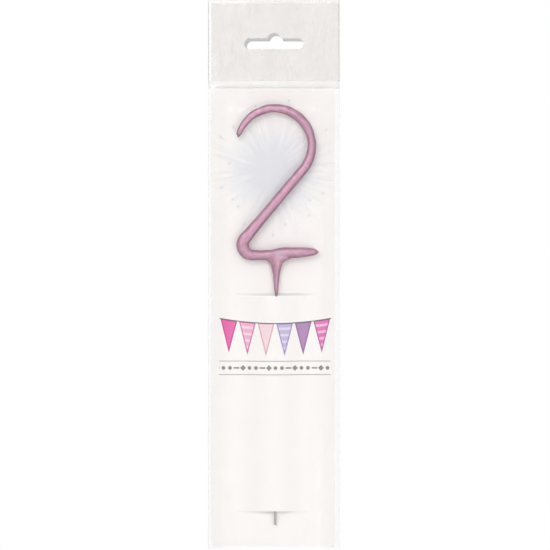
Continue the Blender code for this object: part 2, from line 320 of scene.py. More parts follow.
def smoothStep(values, start, end):
    # 0 up to start, 1 from end on, smooth between
    share = np.clip((values - start) / (end - start), 0, 1)
    return share * share * (3 - 2 * share)


# Centre lines of the two wires

wires = {
    "radius": 0.5, "chamfer": 0.12,
    "crossingX": 1.0, "crossingZ": -94.5, "stickY": -2.65, "figureY": -3.80,
    # the figure's bow, heel and foot, whose toe rises from riseFrom on
    "bowRadius": 15.9, "bowX": 0.2, "bowZ": -48.3, "bowStart": 166.6,
    "heelRadius": 4.3, "heelX": -9.1,
    "footLeftZ": -95.0, "footRightZ": -94.0, "footStep": 7.5,
    "toeX": 17.3, "toeRise": 0.35, "riseFrom": 7.0,
    # how far the stick reaches above and below the crossing, and where it ends sideways
    "stickTop": 1.0, "stickLength": 115.65, "stickEndX": 0.56,
    "figurePoints": 360, "figureSides": 20, "stickPoints": 60, "stickSides": 28,
}


def figurePath(count):
    # the figure 2: an arc round the bow's centre, the straight line that touches both circles, an arc
    # round the heel, and the foot, which climbs by a smooth step. count points, evenly spaced.
    w = wires
    bow = np.array((w["bowX"], w["bowZ"]))
    heel = np.array((w["heelX"], w["footLeftZ"] + w["heelRadius"]))
    apart = heel - bow
    turn = math.acos((w["bowRadius"] + w["heelRadius"]) / np.hypot(*apart))
    leave = math.atan2(apart[1], apart[0]) + turn
    bowAngles = np.linspace(math.radians(w["bowStart"]), leave, count)
    heelAngles = np.linspace(leave + np.pi, 1.5 * np.pi, count)
    bowArc = bow + w["bowRadius"] * np.column_stack((np.cos(bowAngles), np.sin(bowAngles)))
    heelArc = heel + w["heelRadius"] * np.column_stack((np.cos(heelAngles), np.sin(heelAngles)))
    footX = np.linspace(w["heelX"], w["toeX"], count)[1:]
    half = w["footStep"] / 2
    climb = smoothStep(footX, w["crossingX"] - half, w["crossingX"] + half)
    footZ = w["footLeftZ"] + (w["footRightZ"] - w["footLeftZ"]) * climb
    footZ += w["toeRise"] * smoothStep(footX, w["riseFrom"], w["toeX"])
    line = np.vstack((bowArc, heelArc, np.column_stack((footX, footZ))))
    along = np.concatenate(([0], np.cumsum(np.hypot(*np.diff(line, axis=0).T))))
    at = np.linspace(0, along[-1], count)
    x, z = (np.interp(at, along, line[:, i]) for i in (0, 1))
    return np.column_stack((x, np.full(count, w["figureY"]), z)), at


def cutWire(name, path, radius, sides, materials):
    # a round wire with its two cut ends chamfered
    first, last = path[0], path[-1]
    into = wires["chamfer"] * (path[1] - first) / np.linalg.norm(path[1] - first)
    back = wires["chamfer"] * (path[-2] - last) / np.linalg.norm(path[-2] - last)
    whole = np.vstack((first, first + into, path[1:-1], last + back, last))
    radii = np.full(len(whole), radius)
    radii[[0, -1]] -= wires["chamfer"]
    return sweep(name, whole, radii, radii, sides, materials)


def stickPath(count):
    # straight down the stick, which leans a little to the left, from above the crossing to its end
    w = wires
    z = np.linspace(w["crossingZ"] + w["stickTop"], w["crossingZ"] - w["stickLength"], count)
    x = np.linspace(w["crossingX"], w["stickEndX"], count)
    return np.column_stack((x, np.full(count, w["stickY"]), z))


wireFinish = {
    "brightColour": (0.615, 0.60, 0.59), "darkColour": (0.16, 0.145, 0.14),
    "brightRoughness": 0.32, "darkRoughness": 0.5,
    # drawn lines: noise scale across and along the wire, bump, and what they add
    "lineScales": (9.0, 9.0, 0.36), "lineBump": (0.35, 0.02), "lineTone": 0.5, "lineRoughness": 0.25,
    # stains: noise scale, the share of the colour that a full one leaves, and what they add
    "stainScale": 0.9, "stainedShare": 0.55, "stainTone": 0.9, "stainRoughness": 0.15,
    "toneOffset": 0.25,
    "residue": (0.24, 0.19, 0.20), "residueZ": (-112.6, 0.7), "residueShare": 0.85,
}


def wireLook(name, colour, roughness):
    # drawn steel: fine lines along the wire, faint stains, roughness that follows them, and dark
    # residue next to the coat
    f = wireFinish
    look = newLook(name)
    point = look.place()
    lines = look.noise(point, f["lineScales"], detail=3)
    stains = look.noise(point, f["stainScale"], detail=4, roughness=0.6)
    dark = tuple(f["stainedShare"] * part for part in colour)
    clean = stains * f["stainTone"] + lines * f["lineTone"] - f["toneOffset"]
    tone = look.blend(clean.least(1).most(0), dark, colour)
    burnt = look.part(point, "Z").above(*f["residueZ"]) * f["residueShare"]
    tone = look.blend(burnt, tone, f["residue"])
    rough = roughness + (lines - 0.5) * f["lineRoughness"] + (stains - 0.5) * f["stainRoughness"]
    relief = look.bump(lines, *f["lineBump"])
    return look.shown(look.principled(Base_Color=tone, Metallic=1.0, Roughness=rough, Normal=relief))


def buildWires():
    w, f = wires, wireFinish
    dark = wireLook("darkDrawnWire", f["darkColour"], f["darkRoughness"])
    bright = wireLook("brightDrawnWire", f["brightColour"], f["brightRoughness"])
    bent = figurePath(w["figurePoints"])[0]
    figure = cutWire("figureWire", bent, w["radius"], w["figureSides"], [dark])
    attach(figure, "sparkler")
    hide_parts("numeral_wire")
    straight = stickPath(w["stickPoints"])
    stick = cutWire("stickWire", straight, w["radius"], w["stickSides"], [bright])
    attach(stick, "sparkler")
    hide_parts("stem_wire")
    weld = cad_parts["weld_bead"]
    weld.data.materials.clear()
    weld.data.materials.append(dark)


buildWires()
print("wires done")


# Coating

coat = {
    "width": 4.9, "depthLimit": 2.2, "limitPower": 6, "squareness": 2.1, "stickSquareness": 2.0,
    # the tip is left bare for bareTip, and a dome goes on beyond the toe for nose
    "bareTip": 0.55, "nose": 1.7, "noseCurve": 0.62, "noseShare": 0.98,
    # how far the coat reaches above and below the crossing, and how its root leans forward
    "stickTop": 0.9, "stickTopShare": 0.70, "stickLength": 17.2, "stickLean": 0.95, "leanShare": 0.5,
    "boreClearance": 0.06, "boreOverrun": 1.0,
    # lumps and grain, as waves
    "swells": ((0.045, 3.2, 24, 11), (0.012, 0.9, 40, 12)),
    "figurePoints": 520, "nosePoints": 15, "stickPoints": 120, "sides": 48, "boreSides": 20,
    "figureSoften": 5, "stickSoften": 2, "voxel": 0.2, "smoothing": 0.5, "smoothingRounds": 6,
    # share of the figure's length, and share of width there
    "widthShares": (
        (0.000, 0.36), (0.015, 0.51), (0.043, 0.59), (0.077, 0.67), (0.115, 0.715), (0.153, 0.735),
        (0.190, 0.785), (0.240, 0.84), (0.283, 0.835), (0.320, 0.75), (0.345, 0.75), (0.383, 0.83),
        (0.414, 0.845), (0.460, 0.855), (0.540, 0.86), (0.650, 0.885), (0.690, 0.975), (0.720, 1.065),
        (0.760, 1.12), (0.800, 0.91), (0.830, 0.86), (0.860, 0.88), (0.890, 0.95), (0.920, 0.98),
        (0.955, 0.905), (0.970, 0.855), (0.985, 0.75), (1.000, 0.56),
    ),
    # share of stickLength, and share of width there
    "stickShares": (
        (0.00, 1.00), (0.06, 1.90), (0.11, 2.60), (0.135, 2.30), (0.155, 1.86), (0.186, 1.47),
        (0.22, 1.22), (0.256, 1.08), (0.29, 0.98), (0.326, 0.91), (0.413, 0.755), (0.50, 0.635),
        (0.59, 0.545), (0.67, 0.48), (0.73, 0.44), (0.83, 0.39), (0.92, 0.345), (1.00, 0.30),
    ),
}


def fromShares(shares, at, soften):
    # the shares read at those places, run through a short moving average so that no kink shows
    places, values = np.array(shares).T
    read = np.interp(at, places, values)
    padded = np.pad(read, soften, mode="edge")
    return np.convolve(padded, np.ones(2 * soften + 1) / (2 * soften + 1), mode="valid")


def limited(radii):
    # half depths that follow the radii up to the limit and level off there
    power = coat["limitPower"]
    return radii / (1 + (radii / coat["depthLimit"]) ** power) ** (1 / power)


def figureCoat(materials):
    # a swept tube whose radius follows widthShares, cut at the tip and domed beyond the toe
    c = coat
    path, at = figurePath(c["figurePoints"])
    radii = fromShares(c["widthShares"], at / at[-1], c["figureSoften"]) * c["width"] / 2
    kept = at > c["bareTip"]
    path, radii = path[kept], radii[kept]
    dome = np.sin(np.linspace(0, np.pi / 2, c["nosePoints"]))[1:]
    nose = path[-1] + np.column_stack((dome * c["nose"], 0 * dome, 0 * dome))
    domed = radii[-1] * (1 - c["noseShare"] * dome) ** c["noseCurve"]
    path, radii = np.vstack((path, nose)), np.concatenate((radii, domed))
    return sweep("figureCoat", path, radii, limited(radii), c["sides"], materials, c["squareness"])


def stickCoat(materials):
    # a trumpet down the stick whose radius follows stickShares, its root leaning to the front
    c = coat
    share = np.linspace(0, 1, c["stickPoints"])
    radii = fromShares(c["stickShares"], share, c["stickSoften"]) * c["width"] / 2
    lean = c["stickLean"] * (1 - smoothStep(share, 0, c["leanShare"]))
    z = wires["crossingZ"] - c["stickLength"] * share
    path = np.column_stack((np.full_like(z, wires["crossingX"]), wires["stickY"] - lean, z))
    path = np.vstack((path[0] + (0, 0, c["stickTop"]), path))
    radii = np.concatenate(([c["stickTopShare"] * c["width"] / 2], radii))
    return sweep("stickCoat", path, radii, limited(radii), c["sides"], materials, c["stickSquareness"])


coatFinish = {
    "pink": (0.535, 0.268, 0.388), "deepPink": (0.455, 0.20, 0.31), "palePink": (0.71, 0.53, 0.61),
    "metallic": 0.5, "roughness": 0.38, "specular": 0.9,
    # three noises: scale, where the tone that each brings sets in, and what they add
    "cloudScale": 0.55, "cloudEdge": (0.5, 0.16),
    "mottleScale": 2.3, "mottleEdge": (0.60, 0.12), "mottleShare": 0.55,
    "mottleRoughness": 0.3, "mottleBump": (0.35, 0.12),
    "grainScale": 9.0, "grainEdge": (0.42, 0.08), "grainShare": 0.35,
    "grainRoughness": 0.25, "grainMetal": 0.3, "grainBump": (0.30, 0.06),
    # painted shade on the coat: its tone, how much of it the flanks get, and how much more the side
    # away from the upper-left light gets. Flanks and sides set in as the outward direction turns away
    # from Y, and the extra shade as it turns towards the lower right. Right at the sides part of the
    # shade is taken off again.
    "bare": (0.27, 0.075, 0.15), "flank": 0.40, "flankFrom": -0.93, "flankTo": -0.56,
    "awaySideShade": 0.48, "awayFromLight": (0.5, 0.0, -0.87), "awaySideFrom": -0.1, "awaySideTo": 0.6,
    "sideShadeCut": 0.5, "sideFrom": -0.45, "sideTo": -0.10,
    # residue at the tip and where the coat ends on the stick
    "residue": (0.15, 0.09, 0.10),
    "tip": (-15.3, -3.8, -44.6), "tipReach": (1.5, 0.5), "tipShare": 0.85,
    "stickEndZ": (-110.6, 1.2), "stickEndShare": 0.45,
    # a pale lilac spot over the weld, broken up by the mottle
    "lilac": (0.60, 0.47, 0.55), "paleSpot": (2.7, -6.3, -95.0), "paleSpotReach": (1.9, 1.0),
    "paleSpotEdge": (0.45, 0.2), "paleSpotShare": 0.85, "paleSpotRoughness": 0.2,
    # the line where the figure was dipped over the stem, which wanders with the cloud
    "dipLine": (0.62, 0.29, 0.31), "dipLineZ": -98.4, "dipLineHalf": (0.5, 0.5),
    "dipLineWander": 1.6, "dipLineShare": 0.45,
}


def coatLook():
    # metallic pink: three tones mixed by noise, painted shade on the flanks and on the side away from
    # the light, a line where the figure was dipped over the stem, dark residue where the coat ends, a
    # pale lilac spot over the weld, and a fine grain
    f = coatFinish
    look = newLook("pinkSparklerCoat")
    point = look.place()
    z = look.part(point, "Z")
    cloud = look.noise(point, f["cloudScale"], detail=3, roughness=0.55)
    mottle = look.noise(point, f["mottleScale"], detail=4, roughness=0.6)
    grain = look.noise(point, f["grainScale"], detail=2, roughness=0.6)
    tone = look.blend(cloud.above(*f["cloudEdge"]), f["deepPink"], f["pink"])
    tone = look.blend(mottle.above(*f["mottleEdge"]) * f["mottleShare"], tone, f["palePink"])
    tone = look.blend(grain.below(*f["grainEdge"]) * f["grainShare"], tone, f["deepPink"])
    paleSpot = look.distance(point, f["paleSpot"]).below(*f["paleSpotReach"])
    broken = paleSpot * mottle.above(*f["paleSpotEdge"]) * f["paleSpotShare"]
    tone = look.blend(broken, tone, f["lilac"])
    # painted shade: darker towards the flanks, and more on the side away from the light
    bare = look.add("Attribute", {"attribute_name": "bareShare"}, output="Fac")
    tone = look.blend(bare, tone, f["bare"])
    dip = (z + (cloud - 0.5) * f["dipLineWander"]).near(f["dipLineZ"], *f["dipLineHalf"])
    tone = look.blend(dip * f["dipLineShare"], tone, f["dipLine"])
    tip = look.distance(point, f["tip"]).below(*f["tipReach"]) * f["tipShare"]
    end = z.below(*f["stickEndZ"]) * f["stickEndShare"]
    tone = look.blend(tip.most(end), tone, f["residue"])
    rough = f["roughness"] + (mottle - 0.5) * f["mottleRoughness"] + (grain - 0.5) * f["grainRoughness"]
    rough = rough + paleSpot * f["paleSpotRoughness"]
    relief = look.bump(grain, *f["grainBump"], look.bump(mottle, *f["mottleBump"]))
    metal = f["metallic"] + (grain - 0.5) * f["grainMetal"]
    return look.shown(look.principled(
        Base_Color=tone, Metallic=metal, Roughness=rough, Normal=relief,
        Specular_IOR_Level=f["specular"],
    ))


def bareShares(out):
    # painted shade: how much of the shade tone the coat gets where its surface faces that way: 0 on
    # what faces the front or the back, on the flanks the share that flank gives, and more on the side
    # away from the light
    f = coatFinish
    turned = -np.abs(out[:, 1])
    flank = smoothStep(turned, f["flankFrom"], f["flankTo"])
    side = smoothStep(turned, f["sideFrom"], f["sideTo"])
    turnedAway = smoothStep(out @ np.array(f["awayFromLight"]), f["awaySideFrom"], f["awaySideTo"])
    return flank * (1 - f["sideShadeCut"] * side) * (f["flank"] + f["awaySideShade"] * turnedAway)


def buildCoat():
    c = coat
    materials = [coatLook()]
    piece = joined(figureCoat(materials), [stickCoat(materials)], "UNION")
    addModifier(piece, "REMESH", mode="VOXEL", voxel_size=c["voxel"] * mm, use_smooth_shade=True)
    addModifier(piece, "SMOOTH", factor=c["smoothing"], iterations=c["smoothingRounds"])
    applied(piece)
    points = meshPoints(piece.data) / mm
    out = meshPoints(piece.data, "normal")
    setPoints(piece.data, (points + out * waves(points, c["swells"])[:, None]) * mm)
    path = figurePath(wires["figurePoints"])[0]
    onwards = (path[0] - path[1]) / np.linalg.norm(path[1] - path[0])
    start, end = path[0] + c["boreOverrun"] * onwards, path[-1] + (c["boreClearance"], 0, 0)
    stick = stickPath(wires["stickPoints"])
    stick[0, 2] += c["boreClearance"]
    bores = []
    for line in (np.vstack((start, path[:-1], end)), stick):
        radii = np.full(len(line), wires["radius"] + c["boreClearance"])
        bores.append(sweep("bore", line, radii, radii, c["boreSides"], materials))
    joined(piece, [joined(bores[0], bores[1:], "UNION")], "DIFFERENCE")
    piece.name = "pinkCoat"
    piece.data.name = "pinkCoat"
    piece.data.shade_smooth()
    # the painted shade's share at each point, which the coat's material reads
    setShare(piece.data, "bareShare", bareShares(meshPoints(piece.data, "normal")))
    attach(piece, "sparkler")
    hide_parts("sparkler_coating")
    print("coat faces:", len(piece.data.polygons))


buildCoat()
print("coat done")


# Printed card

card = {
    "width": 52.7, "top": -24.2, "bottom": -219.6, "middleX": -0.5, "y": -0.35, "thick": 0.4,
    "slitLength": 29.5, "kerf": 0.3, "upperSlit": -112.5, "lowerSlit": -204.4,
    "archColumns": 48, "sideColumns": 8, "rowPitch": 3.0, "wireGap": 0.1,
    "dent": 0.30, "dentReach": 5.0, "dentRows": 6, "sharpAngle": 40,
}


def archShare(side):
    # the square of a cosine: 1 in the middle of the slits, 0 at their ends
    reach = np.minimum(np.abs(side) / (card["slitLength"] / 2), 1)
    return np.cos(reach * np.pi / 2) ** 2


def buildCard(materials):
    # a sheet in X and Z whose band between the slits arches forward over the stick, while the board
    # above and below them gives way behind it, given the board's thickness
    c = card
    halfSlit, halfKerf, half = c["slitLength"] / 2, c["kerf"] / 2, c["width"] / 2
    sides = np.concatenate((
        np.linspace(-half, -halfSlit, c["sideColumns"] + 1)[:-1],
        np.linspace(-halfSlit, halfSlit, c["archColumns"] + 1),
        np.linspace(halfSlit, half, c["sideColumns"] + 1)[1:],
    ))
    above, below = c["upperSlit"] + halfKerf, c["lowerSlit"] - halfKerf
    edges = (c["top"], above + c["dentReach"], c["upperSlit"] - halfKerf,
             c["lowerSlit"] + halfKerf, below - c["dentReach"], c["bottom"])
    heights = [np.linspace(a, b, max(2, round((a - b) / c["rowPitch"]) + 1))
               for a, b in zip(edges[::2], edges[1::2])]
    heights.append(np.linspace(above + c["dentReach"], above, c["dentRows"] + 1))
    heights.append(np.linspace(below, below - c["dentReach"], c["dentRows"] + 1))
    heights = np.unique(np.round(np.concatenate(heights), 6))[::-1]
    side, z = np.meshgrid(sides, heights)
    behind = c["y"] - wires["stickY"]
    needed = behind + wires["radius"] + c["wireGap"] + c["thick"] / 2
    rise = needed / archShare(abs(wires["crossingX"] - c["middleX"]) + wires["radius"])
    inBand = (z < c["upperSlit"]) & (z > c["lowerSlit"])
    beyond = np.maximum(z - above, below - z)
    dent = c["dent"] * np.clip(1 - beyond / c["dentReach"], 0, 1) ** 2 * ~inBand
    y = c["y"] + (dent - rise * inBand) * archShare(side)
    points = np.stack((side + c["middleX"], y, z), axis=-1).reshape(-1, 3)
    faces = gridFaces(*z.shape, False)
    middles = points[faces].mean(axis=1)
    nearSlit = np.minimum(
        np.abs(middles[:, 2] - c["upperSlit"]), np.abs(middles[:, 2] - c["lowerSlit"])
    ) < halfKerf
    gone = nearSlit & (np.abs(middles[:, 0] - c["middleX"]) < halfSlit)
    piece = newPiece("printedCard", points, faces[~gone][:, ::-1].tolist(), materials)
    addModifier(piece, "SOLIDIFY", thickness=c["thick"] * mm, offset=0, use_even_offset=True,
                material_offset=1, material_offset_rim=2)
    applied(piece)
    piece.data.set_sharp_from_angle(angle=math.radians(c["sharpAngle"]))
    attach(piece, "card")
    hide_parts("insert_card")


printing = {
    # the board: its tone, a duller one in patches, and its tooth
    "board": (0.955, 0.925, 0.900), "patch": (0.90, 0.87, 0.845), "patchScale": 0.05, "patchShare": 0.10,
    "toothScale": 2.2, "toothBump": (0.08, 0.03), "toothRoughness": 0.12,
    "roughness": 0.5, "specular": 0.4,
    # the halo, and rays round it, which change outwards by rayPace and fade in and out
    "haloX": -0.8, "haloZ": -59.0, "haloReach": (16.0, 10.5), "haloRagged": 22,
    "halo": (0.745, 0.755, 0.790),
    "rays": 60, "rayPace": 0.055, "rayFrom": (12, 6), "rayTo": (30.4, 9.5),
    # two kinds of ray: noise scale, where it sets in, how much of its tone shows, and the tone
    "rayKinds": (
        (1.6, (0.60, 0.07), 0.10, (0.62, 0.62, 0.66)), (2.3, (0.63, 0.06), 0.30, (1.0, 1.0, 1.0)),
    ),
    # sparks: their number, the margin in each one's sector, how far out the dot is at least and by how
    # much more at most, and half width and share of dot and line
    "sparks": 26, "sparkMarginShare": 0.25, "sparkNear": 17.0, "sparkSpread": 15.0,
    "sparkTone": (0.62, 0.62, 0.66), "dotHalf": (0.5, 0.2), "dotShare": 0.6,
    "streakHalf": (0.16, 0.1), "streakShare": 0.22, "streakFrom": (15, 5), "streakTo": (0, 0.2),
    # pennants, with stripes on every second one
    "buntingLeft": -23.3, "buntingPitch": 7.95, "flags": 6, "flagHalf": 3.6, "flagHeight": 14.0,
    "stringZ": -122.0, "stringSag": 2.2, "stringHalf": (0.22, 0.06),
    "sideOutline": (0.495, 0.07), "topOutlineShares": (0.0346, 0.006),
    "stripes": 5, "stripeEdge": (0.62, 0.05), "stripeShare": 0.45, "stripeTone": (1.0, 0.96, 0.97),
    # hairlines and the row between them
    "lineTop": -140.3, "lineBottom": -146.1, "lineHalf": (0.13, 0.06), "lineLeft": -23.5,
    "lineRight": 24.2, "rowZ": -143.2, "rowPitch": 2.78, "rowShift": 0.5, "rowDot": (0.80, 0.07),
    "dashHalf": (1.2, 0.07), "dashRise": (0.34, 0.07), "diamondHalf": (1.25, 0.09),
    "ink": (0.115, 0.105, 0.11), "inkShare": 0.86,
    # how softly other edges end, in millimetres, and as shares of the pennants' height and the string
    "endSoft": 0.05, "flagSoftShare": 0.004, "stringSoftShare": 0.001,
    # painted shade where the arched band shades the board at the slits: how far beyond the slit, half
    # height, tone, and how much of it shows at the lower slit and at both halves of the upper one, whose
    # shade reaches further out
    "slitShadeOff": 0.75, "slitShadeHalf": (0.4, 0.4), "slitShadeTone": (0.60, 0.575, 0.56), "halvesSoft": 2,
    "lowerSlitShade": 0.36, "lowerReach": (8.68, 8.68),
    "leftSlitShade": 0.33, "rightSlitShade": 0.66, "upperReach": (15, 4.5),
    "flagFills": (
        (0.80, 0.10, 0.40), (0.86, 0.42, 0.60), (0.90, 0.68, 0.74),
        (0.56, 0.47, 0.72), (0.42, 0.22, 0.46), (0.76, 0.16, 0.47),
    ),
    "flagEdges": (
        (0.55, 0.03, 0.22), (0.66, 0.12, 0.34), (0.72, 0.34, 0.42),
        (0.33, 0.24, 0.52), (0.22, 0.08, 0.26), (0.50, 0.04, 0.27),
    ),
}


def steps(colours):
    # the stops of a ramp that gives each colour an equal stretch
    return [(i / len(colours), colour) for i, colour in enumerate(colours)]


def burst(look, tone, x, z):
    # a pale halo with a ragged rim and soft rays, and sparks: thin lines outwards that each end in a
    # dot, one in each sector, whose place and length are drawn by white noise
    p = printing
    sideways, up = x - p["haloX"], z - p["haloZ"]
    reach = (sideways * sideways + up * up) ** 0.5
    angle = sideways.math("ARCTAN2", up, sideways) * (p["rays"] / (2 * math.pi))
    ray = look.add("CombineXYZ", None, {"X": angle, "Y": reach * p["rayPace"]})
    ragged = (look.noise(ray) - 0.5) * p["haloRagged"]
    tone = look.blend((reach + ragged).below(*p["haloReach"]), tone, p["halo"])
    fade = reach.above(*p["rayFrom"]) * reach.below(*p["rayTo"])
    for scale, edge, share, colour in p["rayKinds"]:
        streak = look.noise(ray, scale, detail=1).above(*edge)
        tone = look.blend(streak * fade * share, tone, colour)
    sector = angle * (p["sparks"] / p["rays"])
    place, length = (
        look.add("TexWhiteNoise", {"noise_dimensions": "1D"}, {"W": sector.floor() + shift}, "Value")
        for shift in (0, 0.5)
    )
    margin = p["sparkMarginShare"]
    aside = abs(sector.fraction() - margin - place * (1 - 2 * margin))
    aside = aside * reach * (2 * math.pi / p["sparks"])
    left = reach - (length * p["sparkSpread"] + p["sparkNear"])
    dot = ((aside * aside + left * left) ** 0.5).below(*p["dotHalf"]) * p["dotShare"]
    streak = aside.below(*p["streakHalf"]) * left.below(*p["streakTo"]) * reach.above(*p["streakFrom"])
    return look.blend(dot.most(streak * p["streakShare"]), tone, p["sparkTone"])


def bunting(look, tone, x, z):
    # pennants on a sagging string; each is a triangle with a darker outline
    p = printing
    along = (x - p["buntingLeft"]) / (p["flags"] * p["buntingPitch"])
    string = p["stringZ"] - along * (1 - along) * (4 * p["stringSag"])
    inside = along.above(0, p["stringSoftShare"]) * along.below(1, p["stringSoftShare"])
    cell = along * p["flags"]
    side = abs(cell.fraction() - 0.5) * p["buntingPitch"]
    down = (string - z) / p["flagHeight"]
    within = p["flagHalf"] * (1 - down) - side
    flag = within.above(0, p["endSoft"]) * inside
    flag = flag * down.above(0, p["flagSoftShare"]) * down.below(1, p["flagSoftShare"])
    inner = flag * within.above(*p["sideOutline"]) * down.above(*p["topOutlineShares"])
    fills, edges = (
        look.add("ValToRGB", {"stops": steps(p[name]), "interpolation": "CONSTANT"}, {0: along})
        for name in ("flagFills", "flagEdges")
    )
    everySecond = (cell * 0.5).fraction().above(0.5, 0.01)
    stripe = (down * p["stripes"]).fraction().above(*p["stripeEdge"]) * everySecond
    fills = look.blend(stripe * p["stripeShare"], fills, p["stripeTone"])
    tone = look.blend(inner, look.blend(flag, tone, edges), fills)
    thread = z.near(string, *p["stringHalf"]) * inside
    return look.blend(thread, tone, p["ink"])


def rowOfMarks(look, tone, x, z):
    # two hairlines, and between them a row in which two dots, a dash and a diamond take turns
    p = printing
    within = x.above(p["lineLeft"], p["endSoft"]) * x.below(p["lineRight"], p["endSoft"])
    upper = z.near(p["lineTop"], *p["lineHalf"])
    lower = z.near(p["lineBottom"], *p["lineHalf"])
    cell = (x - p["lineLeft"] - p["rowShift"]) / p["rowPitch"]
    side = abs(cell.fraction() - 0.5) * p["rowPitch"]
    up = abs(z - p["rowZ"])
    turn = ((cell.floor() + 0.01) / 4).fraction() * 4  # 0 and 1 for dots, 2 for a dash, 3 for a diamond
    isDiamond = turn.above(2.5, 0.1)
    isDash = turn.above(1.5, 0.1) * (1 - isDiamond)
    dot = ((side * side + up * up) ** 0.5).below(*p["rowDot"]) * (1 - isDash) * (1 - isDiamond)
    dash = side.below(*p["dashHalf"]) * up.below(*p["dashRise"]) * isDash
    diamond = (side + up).below(*p["diamondHalf"]) * isDiamond
    marks = ((dot + dash + diamond + upper + lower) * within).least(1)
    return look.blend(marks * p["inkShare"], tone, p["ink"])


def slitShadows(look, tone, x, z):
    # painted shade on the board just above the upper slit and just below the lower one, where the band
    # that arches forward shades it
    p = printing
    middle = card["middleX"]
    upper = z.near(card["upperSlit"] + p["slitShadeOff"], *p["slitShadeHalf"]) * x.near(middle, *p["upperReach"])
    lower = z.near(card["lowerSlit"] - p["slitShadeOff"], *p["slitShadeHalf"]) * x.near(middle, *p["lowerReach"])
    share = x.above(middle, p["halvesSoft"]) * (p["rightSlitShade"] - p["leftSlitShade"]) + p["leftSlitShade"]
    return look.blend(upper * share + lower * p["lowerSlitShade"], tone, p["slitShadeTone"])


def frontLook():
    # coated white board with the print laid over it, painted shade at the slits, and a faint tooth
    p = printing
    look = newLook("printedFront")
    point = look.place()
    x, z = look.part(point, "X"), look.part(point, "Z")
    tooth = look.noise(point, p["toothScale"], detail=3)
    tone = look.blend(look.noise(point, p["patchScale"]) * p["patchShare"], p["board"], p["patch"])
    for layer in (burst, bunting, rowOfMarks, slitShadows):
        tone = layer(look, tone, x, z)
    return look.shown(look.principled(
        Base_Color=tone, Roughness=p["roughness"] + (tooth - 0.5) * p["toothRoughness"],
        Specular_IOR_Level=p["specular"], Normal=look.bump(tooth, *p["toothBump"]),
    ))


boardFinish = {
    "fibreScales": (1.6, 1.6, 0.5), "fibreDark": (0.76, 0.735, 0.70), "fibreLight": (0.84, 0.82, 0.79),
    "fibreBump": (0.25, 0.05), "fibreRoughness": 0.2, "roughness": 0.8,
    "fleckScale": 3.5, "fleckEdge": (0.68, 0.05), "fleckShare": 0.4, "fleck": (0.55, 0.52, 0.48),
    "plyScales": (0.3, 14.0, 0.3), "plyDark": (0.66, 0.63, 0.59), "plyLight": (0.88, 0.86, 0.83),
    "plyBump": (0.3, 0.04), "edgeRoughness": 0.85,
}


def backLook():
    # uncoated greyish board with fibres
    f = boardFinish
    look = newLook("bareBoard")
    point = look.place()
    fibre = look.noise(point, f["fibreScales"], detail=4, roughness=0.65)
    fleck = look.noise(point, f["fleckScale"]).above(*f["fleckEdge"]) * f["fleckShare"]
    tone = look.blend(fleck, look.blend(fibre, f["fibreDark"], f["fibreLight"]), f["fleck"])
    return look.shown(look.principled(
        Base_Color=tone, Roughness=f["roughness"] + (fibre - 0.5) * f["fibreRoughness"],
        Normal=look.bump(fibre, *f["fibreBump"]),
    ))


def edgeLook():
    # the cut edge: plies seen end on
    f = boardFinish
    look = newLook("cutEdge")
    plies = look.noise(look.place(), f["plyScales"])
    return look.shown(look.principled(
        Base_Color=look.blend(plies, f["plyDark"], f["plyLight"]), Roughness=f["edgeRoughness"],
        Normal=look.bump(plies, *f["plyBump"]),
    ))


buildCard([frontLook(), backLook(), edgeLook()])
print("card done")


# Film bag

bag = {
    "halfWidth": 28.25, "top": 14.1, "bottom": -220.7, "film": 0.1,
    "frontY": -0.2, "backY": 0.2, "depthY": -6.85,
    # the front film's tent rises down from the seal for tentLength, and inwards from tentEdge to tentFull
    "sealZ": -22.3, "tentLength": 12.0, "tentEdge": 27.5, "tentFull": 17.4,
    "linerLeft": -26.8, "linerRight": 27.9, "linerTop": 12.95, "linerBottom": -20.6,
    "slotShadowShift": (1.2, 0.0, -1.3),
    # the seams, where the front film is pressed to seamY, and from where to where it comes down to that
    "seam": 0.7, "seamY": 0.07, "sideSeam": (-0.35, 0.1), "topSeam": (-0.1, 0.35),
    # slow waves: of the header's layers, which fade out below the seal, and of the back film
    "headerWaves": ((0.30, 24, 7, 21),), "headerStretch": 0.35, "headerFade": (-4, 8),
    "backWaves": ((0.25, 34, 8, 41),), "backFade": (4, 30),
    # the pitch of the rows of points, which is finer down to fineBelow under the tent's full depth
    "headerPitch": 0.9, "bagPitch": 1.6, "fineBelow": 8, "leastRow": 0.5,
    "columns": 110, "linerColumns": 70, "linerRows": 44, "sharpAngle": 40,
    "slotWidth": 25.4, "slotHeight": 4.6, "bumpRise": 2.3, "bumpRadius": 2.9,
    "arcPoints": 25, "cutterHalf": 3.0,
}


def headerWave(x, z):
    # the slow waviness that the header's layers share, fading out below the seal
    points = np.stack((x, bag["headerStretch"] * z), axis=-1)
    return waves(points, bag["headerWaves"]) * smoothStep(z - bag["sealZ"], *bag["headerFade"])


def seam(x, z):
    # 1 at the sealed edges at both sides and along the top, 0 inside
    side = smoothStep(np.abs(x) - bag["halfWidth"] + bag["seam"], *bag["sideSeam"])
    top = smoothStep(z - bag["top"] + bag["seam"], *bag["topSeam"])
    return np.maximum(side, top)


def tentShare(x, z):
    # 1 where the front film stands at full depth: a sine inwards from each side seam, and a sine down
    # from the seal
    across = np.clip((bag["tentEdge"] - np.abs(x)) / (bag["tentEdge"] - bag["tentFull"]), 0, 1)
    down = np.clip((bag["sealZ"] - z) / bag["tentLength"], 0, 1)
    return np.sin(across * np.pi / 2) * np.sin(down * np.pi / 2)


